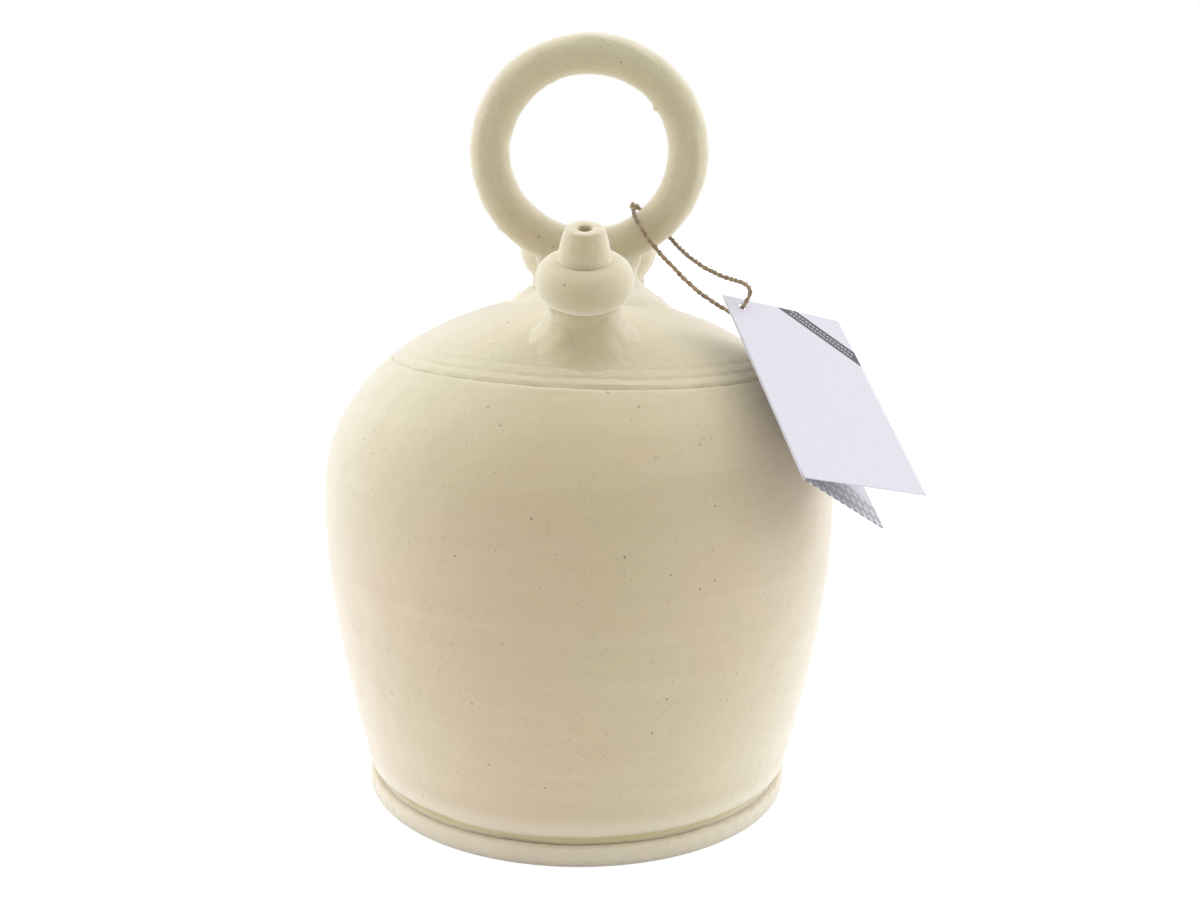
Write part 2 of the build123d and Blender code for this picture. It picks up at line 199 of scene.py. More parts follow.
class JugStage(bpy.types.PropertyGroup):
    """Camera, floor and soft light."""

    lens: amount("Lens", "Focal length on a 36 mm frame, in mm", 10, 200, 40.707)
    side_light: amount("Side light", "Brightness of the broad lights at both sides", 0, 10, 4.4)
    back_light: amount("Back light", "Brightness straight behind, as a share of the sides'", 0, 1, 0.11,
                       subtype="FACTOR")
    top_light: amount("Top light", "Brightness overhead", 0, 5, 1.6)
    floor_light: amount("Floor glow", "Light that the white floor adds", 0, 5, 0.70)
    floor_radius: measure("Floor radius", "Radius of the white floor", 0.5, 20, 6.0)


# ---- Shapes ----

def smooth(value, low, high):
    """Rises smoothly from 0 at low to 1 at high."""
    share = np.clip((value - low) / (high - low), 0, 1)
    return share * share * (3 - 2 * share)


def clamped_spline(points, start, end, steps=80):
    """Points along the smooth curve through these, which leaves and arrives in the given directions."""
    points = np.array(points, float)
    gaps = np.hypot(*np.diff(points, axis=0).T)
    size = len(points)
    system, right = np.zeros((size, size)), np.zeros_like(points)
    system[0, 0] = system[-1, -1] = 1
    right[0], right[-1] = np.array(start) / np.hypot(*start), np.array(end) / np.hypot(*end)
    for i in range(1, size - 1):
        before, after = gaps[i - 1], gaps[i]
        system[i, i - 1:i + 2] = 1 / before, 2 / before + 2 / after, 1 / after
        right[i] = 3 * ((points[i] - points[i - 1]) / before**2 + (points[i + 1] - points[i]) / after**2)
    slopes = np.linalg.solve(system, right)
    share = np.linspace(0, 1, steps, endpoint=False)[:, None]
    square, cube = share**2, share**3
    curve = [
        (2 * cube - 3 * square + 1) * points[i] + (cube - 2 * square + share) * gap * slopes[i]
        + (3 * square - 2 * cube) * points[i + 1] + (cube - square) * gap * slopes[i + 1]
        for i, gap in enumerate(gaps)
    ]
    return np.concatenate(curve + [points[-1:]])


def arc(start, end, leaving, count):
    """Points on the arc from start to end that leaves in this direction."""
    start, end, leaving = (np.array(v, float) for v in (start, end, leaving))
    leaving /= np.hypot(*leaving)
    side = np.array((-leaving[1], leaving[0]))
    chord = end - start
    bend = chord @ side
    radius = chord @ chord / (2 * bend)
    whole = 2 * np.arctan2(bend, chord @ leaving)
    turn = np.linspace(0, whole, count)
    return start + radius * (np.sin(turn)[:, None] * leaving + (1 - np.cos(turn))[:, None] * side)


def bowed(start, end, bow, count):
    """Points from start to end along a shallow arc that bows to the left of the way by this much."""
    start, end = np.array(start, float), np.array(end, float)
    share = np.linspace(0, 1, count)[:, None]
    way = (end - start) / np.hypot(*(end - start))
    return start + (end - start) * share + 4 * share * (1 - share) * bow * np.array((-way[1], way[0]))


OUTLINE = clamped_spline(
    [WALL_START] + [(radius * BELLY_RADIUS, height * CROWN_HEIGHT) for height, radius in WALL_SHARES]
    + [(0, CROWN_HEIGHT)], (WALL_LEAN_SHARE, 1), (-1, 0))
_way = np.gradient(OUTLINE, axis=0)
OUTWARD = np.stack([_way[:, 1], -_way[:, 0]], 1) / np.hypot(*_way.T)[:, None]


def wall_radius(height, depth=0.0):
    """Radius of the thrown wall at this height, or of the surface this deep inside it."""
    inner = OUTLINE - depth * OUTWARD
    return np.interp(height, inner[:, 1], inner[:, 0], right=0)


def wall_rows(heights, sides, depth=0.0):
    """Rings of points on the thrown wall, tilted as the seam is near the shoulder."""
    turn = np.arange(sides) * 2 * pi / sides
    level = np.array(heights, float)[:, None] + np.zeros(sides)
    tilt = tan(SEAM_TILT) * smooth(level, 110, 165) * (1 - smooth(level, 186, 196))
    at = level.copy()
    for _ in range(8):
        at = level - tilt * wall_radius(at, depth) * np.cos(turn)
    radius = wall_radius(at, depth)
    return np.stack([radius * np.cos(turn), radius * np.sin(turn), at], -1)


def leaning(seat, lean):
    """Matrix of an axis that stands on its seat and leans by this many degrees towards +Y."""
    return Matrix.Translation(seat) @ Matrix.Rotation(radians(-lean), 4, "X")


UPRIGHT, SPOUT_AXIS, MOUTH_AXIS = Matrix(), leaning(SPOUT_SEAT, SPOUT_LEAN), leaning(MOUTH_SEAT, MOUTH_LEAN)


def turned_rows(axis, radius, along, sides):
    """Rings of points round an axis. Radius and height are one value, or one per side, for each ring."""
    turn = np.arange(sides) * 2 * pi / sides
    radius = np.array([np.broadcast_to(value, sides) for value in radius])
    along = np.array([np.broadcast_to(value, sides) for value in along])
    local = np.stack([radius * np.cos(turn), radius * np.sin(turn), along], -1)
    matrix = np.array(axis)
    return local @ matrix[:3, :3].T + matrix[:3, 3]


def wall_below(axis, radius, sides):
    """Height on an axis, one per side, at which a circle of this radius meets the thrown body."""
    low, high = np.full(sides, -45.0), np.full(sides, 30.0)
    for _ in range(24):
        middle = (low + high) / 2
        points = turned_rows(axis, [radius], [middle], sides)[0]
        inside = np.hypot(points[:, 0], points[:, 1]) < wall_radius(points[:, 2])
        low, high = np.where(inside, middle, low), np.where(inside, high, middle)
    return low


def uneven(points, size, seed, stretch=(1, 1, 1)):
    """Smooth hills and hollows, mostly from -1 to 1 and about this many mm across, the same on every run."""
    chance = np.random.RandomState(seed)
    waves = 14
    total = np.zeros(points.shape[:-1])
    for _ in range(waves):
        way = chance.normal(size=3)
        way *= 2 * pi / (np.linalg.norm(way) * size * chance.uniform(0.7, 1.4))
        total += np.sin(points @ (way * stretch) + chance.uniform(0, 2 * pi))
    return total / sqrt(waves / 2) / 1.7


def facing(rows):
    """Outward direction at each point of rings of points."""
    along = np.gradient(rows, axis=0)
    around = np.roll(rows, -1, axis=1) - np.roll(rows, 1, axis=1)
    out = np.cross(around, along)
    return out / np.maximum(np.linalg.norm(out, axis=-1, keepdims=True), 1e-9)


def pushed(rows, amount):
    """Rings of points moved outwards by this many mm at each point."""
    return rows + facing(rows) * amount[..., None]


def hand_made(points, seed, height):
    """Hills and hollows that hands leave in thrown clay, as mm at each point."""
    return height * sum(share * uneven(points, size, seed + i, (*[round_share] * 2, 1))
                        for i, (share, size, round_share) in enumerate(HAND_MARKS))


def grid(count, sides, joined=False):
    """Quads between rings of points that are numbered ring by ring. Joined: the last ring meets the first."""
    index = np.arange(count * sides).reshape(count, sides)
    following = np.roll(index, -1, axis=0)
    quads = np.stack([index, np.roll(index, -1, axis=1), np.roll(following, -1, axis=1), following], -1)
    return quads[:count if joined else count - 1].reshape(-1, 4).tolist()


def skin(name, rows, ends=None):
    """A closed piece from rings of points in mm. The last ring meets the first, or the ends close on points."""
    count, sides = rows.shape[:2]
    points = rows.reshape(-1, 3)
    faces = grid(count, sides, ends is None)
    if ends is not None:
        points = np.concatenate([points, np.array(ends, float)])
        last, low, high = (count - 1) * sides, count * sides, count * sides + 1
        for j in range(sides):
            beside = (j + 1) % sides
            faces += [(low, beside, j), (high, last + j, last + beside)]
    return piece(name, points, faces)


def piece(name, points, faces):
    """A smooth-shaded object from points in mm, with its faces turned outwards."""
    mesh = bpy.data.meshes.new(name)
    mesh.from_pydata((np.array(points, float) * MM).tolist(), [], faces)
    tidy = bmesh.new()
    tidy.from_mesh(mesh)
    bmesh.ops.recalc_face_normals(tidy, faces=tidy.faces)
    tidy.to_mesh(mesh)
    tidy.free()
    mesh.shade_smooth()
    made = bpy.data.objects.new(name, mesh)
    bpy.context.scene.collection.objects.link(made)
    return made


def drilled(body, cutters):
    """Cuts the cutters out of a piece for good, and removes them."""
    for cutter in cutters:
        cut = body.modifiers.new("bore", "BOOLEAN")
        cut.operation, cut.solver, cut.object = "DIFFERENCE", "EXACT", cutter
    mesh = bpy.data.meshes.new_from_object(body.evaluated_get(bpy.context.evaluated_depsgraph_get()))
    body.modifiers.clear()
    mesh.name = body.name
    body.data = mesh
    for cutter in cutters:
        bpy.data.objects.remove(cutter)


def dress(made, finish, body, slot, *replaced):
    """Gives a piece its finish, the body it rides on and the frame's nodes it stands for. The slot is not used.
    """
    made.data.materials.clear()
    made.data.materials.append(finish)
    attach(made, body)
    if replaced:
        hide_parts(*replaced)


def fired(name, node, finish, rows, push, ends=None):
    """A piece of the jug's clay from rings of points, pushed outwards by this many mm at each point."""
    dress(skin(name, pushed(rows, push), ends), finish, "jug", "clay", node)


# ---- Finishes ----

class Nodes:
    """A tree of shader nodes, and short ways to add to it."""

    def __init__(self, tree):
        self.tree = tree

    def node(self, kind, *values, **settings):
        """Adds a node, fills its inputs in order, and returns its first output."""
        made = self.tree.nodes.new("ShaderNode" + kind)
        for key, value in settings.items():
            setattr(made, key, value)
        for socket, value in zip(made.inputs, values):
            if isinstance(value, bpy.types.NodeSocket):
                self.tree.links.new(value, socket)
            elif value is not None:
                socket.default_value = value
        return made.outputs[0]

    def math(self, operation, *values):
        return self.node("Math", *values, operation=operation)

    def times(self, first, *others):
        for value in others:
            first = self.math("MULTIPLY", first, value)
        return first

    def plus(self, first, *others):
        for value in others:
            first = self.math("ADD", first, value)
        return first

    def distance(self, first, second):
        """Length of a way with these two legs."""
        return self.math("SQRT", self.plus(self.math("POWER", first, 2.0), self.math("POWER", second, 2.0)))

    def ramp(self, value, low, high, bottom=0.0, top=1.0):
        """The value's range from low to high spread over bottom to top."""
        return self.node("MapRange", value, low, high, bottom, top, interpolation_type="SMOOTHSTEP")

    def between(self, value, start, full, fading, gone):
        """1 from full to fading, 0 before start and after gone."""
        return self.times(self.ramp(value, start, full), self.ramp(value, fading, gone, 1.0, 0.0))


class Finish(Nodes):
    """One procedural material."""

    def __init__(self, name, roughness):
        self.material = bpy.data.materials.new(name)
        self.material.use_nodes = True
        super().__init__(self.material.node_tree)
        self.shader = self.tree.nodes["Principled BSDF"]
        self.shader.inputs["Roughness"].default_value = roughness
        self.place = self.node("TexCoord").node.outputs["Object"]

    def noise(self, place, scale, detail=3.0, rough=0.55):
        made = self.node("TexNoise", place).node
        made.inputs["Scale"].default_value = scale
        made.inputs["Detail"].default_value = detail
        made.inputs["Roughness"].default_value = rough
        return made.outputs["Fac"]

    def blend(self, share, first, second, kind="MIX"):
        first, second = (v if isinstance(v, bpy.types.NodeSocket) else (*v, 1.0) for v in (first, second))
        return self.node("MixRGB", share, first, second, blend_type=kind)

    def streaks(self, scale, turn, detail, rough):
        """Noise stretched square to an axis that is turned by this about X."""
        made = self.node("Mapping", self.place).node
        made.inputs["Rotation"].default_value = (turn, 0, 0)
        made.inputs["Scale"].default_value = scale
        return self.noise(made.outputs[0], 1.0, detail, rough)

    def spots(self, scale, inner, outer, share):
        """Round spots in some cells of a scattered grid: their radii are in cells, their share in cells too."""
        cells = self.node("TexVoronoi", self.place).node
        cells.inputs["Scale"].default_value = scale
        chosen = self.ramp(self.node("SeparateColor", cells.outputs["Color"]), 1 - share, 1 - share + 0.02)
        return self.times(self.ramp(cells.outputs["Distance"], inner, outer, 1.0, 0.0), chosen)

    def along(self, way, origin):
        """Distance from the origin along a fixed direction, in metres."""
        place = self.node("VectorMath", self.place, tuple(origin), operation="SUBTRACT")
        return self.node("VectorMath", place, tuple(way), operation="DOT_PRODUCT").node.outputs["Value"]

    def colour(self, value):
        self.tree.links.new(value, self.shader.inputs["Base Color"])

    def bump(self, height, distance, strength=1.0):
        made = self.node("Bump").node
        made.inputs["Strength"].default_value = strength
        made.inputs["Distance"].default_value = distance
        self.tree.links.new(height, made.inputs["Height"])
        self.tree.links.new(made.outputs[0], self.shader.inputs["Normal"])

    def set(self, **sockets):
        for name, value in sockets.items():
            self.shader.inputs[name.replace("_", " ").title()].default_value = value


def rolled_streaks(clay):
    """Broad and fine streaks along the ring, as rolling leaves them."""
    right = clay.node("SeparateXYZ", clay.node(
        "VectorMath", clay.place, tuple(RING_CENTRE * MM), operation="SUBTRACT"))
    front, up = right.node.outputs[1:]
    scale, round_scale = 300.0, 2.2
    bent = clay.node("CombineXYZ", clay.times(clay.distance(right, up), scale), clay.times(front, scale),
                     clay.times(clay.math("ARCTAN2", up, right), round_scale))
    return clay.noise(bent, 1.0, 4.0, 0.6), clay.noise(bent, 4.3, 3.0, 0.6)


def clay_finish(name, turn=0.0, streaks=1.0, pits=1.0, painted_lift=0.0, ring=False, groove=False):
    """Unglazed clay with turning streaks square to an axis that is turned by this about X."""
    tints = bpy.context.scene.jug_clay
    clay = Finish(name, roughness=0.72)
    if ring:
        streak, fine = rolled_streaks(clay)
    else:
        streak = clay.streaks((9.0, 9.0, 170.0), turn, 3.0, 0.5)
        fine = clay.streaks((45.0, 45.0, 1150.0), turn, 4.0, 0.65)
    drift, patches, wiped, grain, grit = (clay.noise(clay.place, *values) for values in CLAY_NOISES.values())
    wiped = clay.ramp(wiped, 0.46, 0.66)
    high = clay.node("SeparateXYZ", clay.place).node.outputs[2]

    # Drift from pink to olive, more olive upwards, with patches of the main colour and a pale bloom
    lean = clay.plus(drift, clay.ramp(high, 0.09, 0.175, -0.06, 0.14))
    tone = clay.blend(clay.ramp(lean, 0.38, 0.64), tints.blush, tints.olive)
    tone = clay.blend(clay.ramp(patches, 0.38, 0.70, 0.0, 0.75), tone, tints.colour)
    # The bloom's base share paints light over a whole part, making the foot, ring and pad paler all over
    tone = clay.blend(clay.ramp(streak, 0.50, 0.85, painted_lift, painted_lift + 0.10 * streaks), tone, tints.bloom_and_light)
    fine_share = clay.times(clay.math("SUBTRACT", fine, 0.5), clay.times(wiped, 0.16 * streaks))
    shade = clay.times(clay.ramp(streak, 0.22, 0.62, 1 - 0.022 * streaks, 1.0), clay.plus(1.0, fine_share),
                       clay.ramp(grain, 0.25, 0.75, 0.975, 1.025), clay.ramp(grit, 0.3, 0.7, 0.985, 1.012))
    tone = clay.blend(1.0, tone, clay.node("CombineColor", shade, shade, shade), "MULTIPLY")

    pit, dot, speck = (clay.spots(*size, share * more)
                       for (*size, share), more in ((PIT, pits), (DOT, pits), (SPECK, 1.0)))
    # Painted shade darkens the inside of the pits and dots; the specks get the pale bloom
    for spot, share, colour in ((dot, 0.10, tints.pit_shade), (pit, 0.80, tints.pit_shade),
                                (speck, 0.06, tints.bloom_and_light)):
        tone = clay.blend(clay.times(spot, share), tone, colour)
    # Painted shade deep in the groove, and a painted highlight on the rounded bead just over it
    if groove:
        for zone, share, colour in ((BEAD_HIGHLIGHT_ZONE, 0.42, tints.bloom_and_light), (GROOVE_SHADE_ZONE, 0.85, tints.groove_shade)):
            tone = clay.blend(clay.times(clay.between(high, *zone), share), tone, colour)
    clay.colour(tone)

    parts = streak, clay.times(fine, wiped), grit, grain, pit, dot, speck
    clay.bump(clay.plus(*(clay.times(*pair) for pair in zip(parts, RELIEF_SHARES))), CLAY_RELIEF)
    clay.set(sheen_weight=1.0, sheen_roughness=0.6, sheen_tint=(1.0, 0.985, 0.96, 1.0))
    return clay.material


def twine_finish():
    """Dull natural fibre with darker and lighter hairs along it."""
    tints = bpy.context.scene.jug_twine
    fibre = Finish("twine_fibre", roughness=0.9)
    hairs = fibre.noise(fibre.place, 1900.0, 3.0, 0.7)
    lengths = fibre.noise(fibre.place, 260.0, 3.0, 0.6)
    tone = fibre.blend(fibre.ramp(hairs, 0.32, 0.68), tints.shade, tints.colour)
    pale = tuple(min(1.0, value * 1.5) for value in tints.colour)
    tone = fibre.blend(fibre.ramp(lengths, 0.35, 0.75, 0.0, 0.6), tone, pale)
    fibre.colour(tone)
    fibre.bump(hairs, 0.00012, 0.8)
    fibre.set(sheen_weight=0.25, sheen_roughness=0.5)
    return fibre.material


def band_ink(card, across, down):
    """Share of ink on the slate band over the front's upper corner, less its two rows of fine dashes."""
    tints = bpy.context.scene.jug_card
    slope, soft = tints.band_angle, 0.00012
    level = card.math("SUBTRACT", card.times(across, sin(slope)), card.times(down, cos(slope)))
    run = card.plus(card.times(across, cos(slope)), card.times(down, sin(slope)))
    band = card.between(level, tints.band_near - soft, tints.band_near + soft,
                        tints.band_far - soft, tints.band_far + soft)
    middle = (tints.band_near + tints.band_far) / 2
    row_offset, row_half, first_pitch, second_pitch, dash_start = 0.00095, 0.00042, 0.00137, 0.00163, 0.42
    dashes = 0.0
    for offset, pitch in ((-row_offset, first_pitch), (row_offset, second_pitch)):
        row = card.math("COMPARE", level, middle + offset, row_half)
        dash = card.math("GREATER_THAN", card.math("FRACT", card.math("DIVIDE", run, pitch)), dash_start)
        dashes = card.plus(card.times(row, dash), dashes)
    inset = card.times(card.math("GREATER_THAN", run, 0.0165), card.math("LESS_THAN", run, 0.0455))
    ink = card.times(band, card.math("SUBTRACT", 1.0, card.times(dashes, inset, 0.62)))
    return card.times(ink, card.math("GREATER_THAN", card.along(CARD_FRONT, CARD_HOLE), -0.0002))


def lattice_ink(card, across, down):
    """Share of ink in a lattice of rings inside the card, in a quarter of an oval at the fold's lower end."""
    pitch, oval_width, oval_height = bpy.context.scene.jug_card.lattice, 0.054, 0.0143
    up = card.math("SUBTRACT", (CARD_FOOT - 0.5) * MM, down)
    part = card.plus(card.math("POWER", card.math("DIVIDE", across, oval_width), 2.0),
                     card.math("POWER", card.math("DIVIDE", up, oval_height), 2.0))
    inside = card.times(card.math("LESS_THAN", part, 1.0),
                        card.math("LESS_THAN", card.along(CARD_FRONT, CARD_FOLD * MM), 0.0))
    lines = 0.0
    # Shift, radius and half width of the rings, in pitches
    for shift, radius, width in ((0.0, 0.40, 0.045), (0.5, 0.25, 0.04), (0.5, 0.06, 0.04)):
        cell = [card.math("SUBTRACT", card.math("FRACT", card.plus(
            card.math("DIVIDE", side, pitch), 20.0 + shift)), 0.5) for side in (across, down)]
        lines = card.math("MAXIMUM", card.math("COMPARE", card.distance(*cell), radius, width), lines)
    return card.times(lines, inside, 0.72)


def card_finish(name, print_ink=None):
    """Smooth card, with the share of ink on it from a function."""
    tints = bpy.context.scene.jug_card
    card = Finish(name, roughness=0.52)
    pulp = card.noise(card.place, 620.0, 4.0, 0.6)
    paper = card.blend(card.ramp(pulp, 0.3, 0.7), tuple(0.965 * value for value in tints.paper), tints.paper)
    if print_ink:
        ink = print_ink(card, card.along(CARD_ACROSS, CARD_HOLE), card.along(CARD_DOWN, CARD_HOLE))
        paper = card.blend(ink, paper, tints.ink)
    card.colour(paper)
    card.bump(pulp, 0.00003, 0.6)
    card.shader.inputs["Specular IOR Level"].default_value = 0.4
    return card.material


# ---- Pieces ----

class BotijoCamera(bpy.types.Operator):
    """Places the camera before the jug, a little above it"""

    bl_idname = "botijo.camera"
    bl_label = "Place Camera"

    def execute(self, context):
        lens = bpy.data.cameras.new("camera")
        lens.sensor_width, lens.sensor_fit = 36.0, "HORIZONTAL"
        lens.lens = context.scene.jug_stage.lens
        lens.shift_x, lens.shift_y = CAMERA_SHIFT
        lens.clip_start, lens.clip_end = 0.01, 50.0
        camera = bpy.data.objects.new("camera", lens)
        context.scene.collection.objects.link(camera)
        camera.location = CAMERA_PLACE
        tilt = Euler((radians(CAMERA_TILT), 0, 0)).to_matrix() @ Matrix.Rotation(radians(CAMERA_ROLL), 3, "Z")
        camera.rotation_euler = tilt.to_euler()
        context.scene.camera = camera
        return {"FINISHED"}


def route_line():
    """Points along the twine's route, in metres."""
    data = bpy.data.curves.new("twine_route", "CURVE")
    data.dimensions, data.resolution_u = "3D", 16
    spline = data.splines.new("NURBS")
    spline.points.add(len(TWINE_POINTS) - 1)
    for point, place in zip(spline.points, TWINE_POINTS):
        point.co = (*place, 1.0)
    spline.order_u = 3
    spline.use_endpoint_u = True
    holder = bpy.data.objects.new("twine_route", data)
    bpy.context.scene.collection.objects.link(holder)
    mesh = bpy.data.meshes.new_from_object(holder)
    line = np.array([vertex.co[:] for vertex in mesh.vertices])
    bpy.data.meshes.remove(mesh)
    bpy.data.objects.remove(holder)
    bpy.data.curves.remove(data)
    return line


def even_steps(line, step):
    """The line's points spaced evenly, and the distance along it at each."""
    gaps = np.linalg.norm(np.diff(line, axis=0), axis=1)
    reach = np.concatenate([[0], np.cumsum(gaps)])
    at = np.linspace(0, reach[-1], max(3, int(reach[-1] / step) + 1))
    return np.stack([np.interp(at, reach, line[:, k]) for k in range(3)], 1), at


def side_ways(line):
    """Two directions square to the line at each point, turning no more than they have to."""
    ways = np.gradient(line, axis=0)
    ways /= np.linalg.norm(ways, axis=1, keepdims=True)
    side = np.cross(ways[0], (0.31, 0.74, 0.6))
    sides = []
    for way in ways:
        side = side - way * (side @ way)
        side /= np.linalg.norm(side)
        sides.append(side)
    sides = np.array(sides)
    return sides, np.cross(ways, sides)


def tubes(name, lines, corners=6):
    """One piece of closed tubes. Each line is its points and radii, in mm."""
    points, faces = [], []
    turn = np.arange(corners)[:, None] * 2 * pi / corners
    for line, radii in lines:
        start, last = len(points), len(points) + (len(line) - 1) * corners
        for place, one, two, radius in zip(line, *side_ways(line), radii):
            points += list(place + radius * (one * np.cos(turn) + two * np.sin(turn)))
        faces += (np.array(grid(len(line), corners)) + start).tolist()
        faces += [tuple(start + j for j in reversed(range(corners))), tuple(last + j for j in range(corners))]
    return piece(name, points, faces)


def two_ply(line, lay, radius, seed):
    """The two strands that are twisted about a line, in mm, with slubs in their thickness."""
    centre, at = even_steps(line, 0.36)
    first, second = side_ways(centre)
    strands = []
    for strand in range(2):
        angle = 2 * pi * at / lay + pi * strand + 0.35 * np.sin(at * 0.61 + seed)
        slub = 1 + 0.10 * np.sin(at * 1.7 + 2.1 * strand + seed) + 0.07 * np.sin(at * 3.9 + seed * strand)
        offset = radius * STRAND_OFFSET * slub
        way = first * np.cos(angle)[:, None] + second * np.sin(angle)[:, None]
        strands.append((centre + way * offset[:, None], radius * STRAND_RADIUS * slub))
    return strands


class BotijoTwine(bpy.types.Operator):
    """Lays the two-ply twine, its loose fibres and its knot"""

    bl_idname = "botijo.twine"
    bl_label = "Lay Twine"

    def execute(self, context):
        values = context.scene.jug_twine
        finish = twine_finish()
        line = route_line()
        radius, lay = values.diameter / 2 / MM, values.lay / MM
        strands = tubes("twine_strands", two_ply(line / MM, lay, radius, 3), 7)
        dress(strands, finish, "twine", "twine", "twine_loop")

        chance = np.random.RandomState(11)
        centre, _ = even_steps(line / MM, 0.5)
        first, second = side_ways(centre)
        ways = np.gradient(centre, axis=0)
        ways /= np.linalg.norm(ways, axis=1, keepdims=True)
        hairs, hole = [], np.array(CARD_HOLE) / MM
        for _ in range(values.fibres):
            i = chance.randint(2, len(centre) - 2)
            angle = chance.uniform(0, 2 * pi)
            out = first[i] * cos(angle) + second[i] * sin(angle)
            reach = min(chance.exponential(1.0) + 0.5, 3.2)
            lift = chance.uniform(0.15, 0.75)
            bend = np.cross(ways[i], out) * chance.uniform(-0.6, 0.6)
            share = np.linspace(0, 1, 5)[:, None]
            way = ways[i] * chance.choice((-1, 1))
            hair = centre[i] + out * radius * 0.72 + reach * (
                way * share + out * lift * share * (1.2 - 0.4 * share) + bend * share**2)
            if np.linalg.norm(centre[i] - hole) > HAIR_FREE_REACH:
                hairs.append((hair, HAIR_RADIUS * (1.15 - share[:, 0])))
        fuzz = tubes("twine_fibres", hairs, 3)
        dress(fuzz, finish, "twine", "twine")

        share = np.linspace(0, 1, 90, endpoint=False) * 2 * pi
        loops = np.stack([np.sin(share) + 2 * np.sin(2 * share), np.cos(share) - 2 * np.cos(2 * share),
                          -np.sin(3 * share)], 1) * (0.42, 0.42, 0.62)
        turned = np.array(Euler((0.5, 0.9, 0.3)).to_matrix())
        loops = KNOT_POINT + np.concatenate([loops, loops[:1]]) @ turned.T
        knot_lines = two_ply(loops, lay * 0.8, radius * 0.82, 5)
        for way, bend, reach in KNOT_TAILS:
            share = np.linspace(0, 1, 14)[:, None]
            end = KNOT_POINT + np.array(way) * (0.6 + reach * share) + np.array(bend) * share**2 * 1.6
            knot_lines += two_ply(end, lay * 1.2, radius * 0.8, 7)
        knot = tubes("tied_knot", knot_lines, 6)
        dress(knot, finish, "twine", "twine", "twine_knot")
        return {"FINISHED"}


def shoulder_lines(points):
    """How deep the three turned lines cut at these points, in mm. The lowest, over the seam, is the widest."""
    above = (points[..., 2] - SEAM_HEIGHT) * cos(SEAM_TILT) + points[..., 0] * sin(SEAM_TILT)
    depth = 0
    for line, (width, cut) in enumerate(LINE_CUTS):
        wander = 0.12 * uneven(points, 8, 40 + line) + 0.06 * uneven(points, 3, 46 + line)
        off = above - line * LINE_PITCH - wander
        strength = np.clip(1 + 0.5 * uneven(points, 13, 50 + line), 0.15, 1.5)
        depth = depth + cut * strength * (np.exp(-(off / width) ** 2) - 0.4 * np.exp(-((off - 1.1) / 0.5) ** 2))
    return depth * (0.2 + 0.8 * smooth(points[..., 0], -80, -54))


